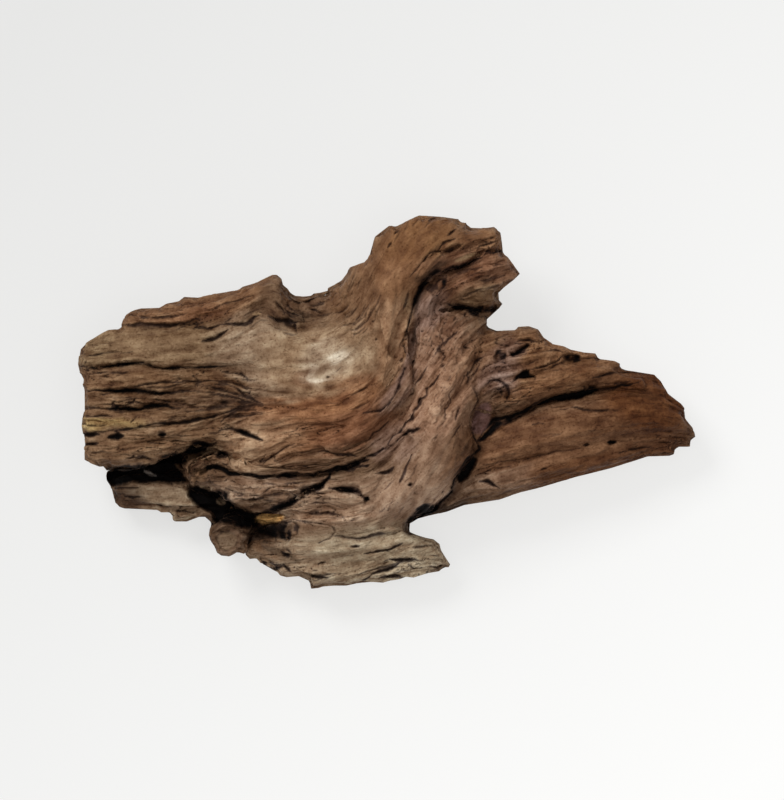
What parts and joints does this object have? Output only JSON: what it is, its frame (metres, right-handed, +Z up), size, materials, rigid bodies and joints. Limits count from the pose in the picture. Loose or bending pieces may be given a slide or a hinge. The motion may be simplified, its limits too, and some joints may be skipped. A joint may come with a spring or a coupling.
{
  "type": "mangrove root",
  "caption": "Weathered mangrove root lying on its back: a thick heart with a pale bowl, long tapering arms, a folded crown, a low spur and a splintered foot.",
  "frame": {"origin": "middle of the bounding box, on the ground the root lies on", "axes": "+X along the two long arms towards the tapering one, +Y towards the crown, +Z up from the ground"},
  "size_m": [0.402, 0.243, 0.1063],
  "materials": {
    "heart_wood": "weathered smooth wood, pale where it is worn",
    "strip_wood": "dull weathered strips with dark cracks",
    "spur_wood": "dark weathered wood with pale ridges",
    "crown_wood": "dull brown weathered wood",
    "red_wood": "dull red-brown weathered wood, darker at the tip",
    "foot_wood": "pale grey weathered wood",
    "stub_wood": "dull brown wood with a dark ring on its end"
  },
  "bodies": {
    "root": {"heart": "heart_wood", "left_arm": "strip_wood", "left_spur": "spur_wood", "crown_arm": "crown_wood", "right_arm": "red_wood", "foot": "foot_wood", "root_stub": "stub_wood"}
  },
  "joints": []
}
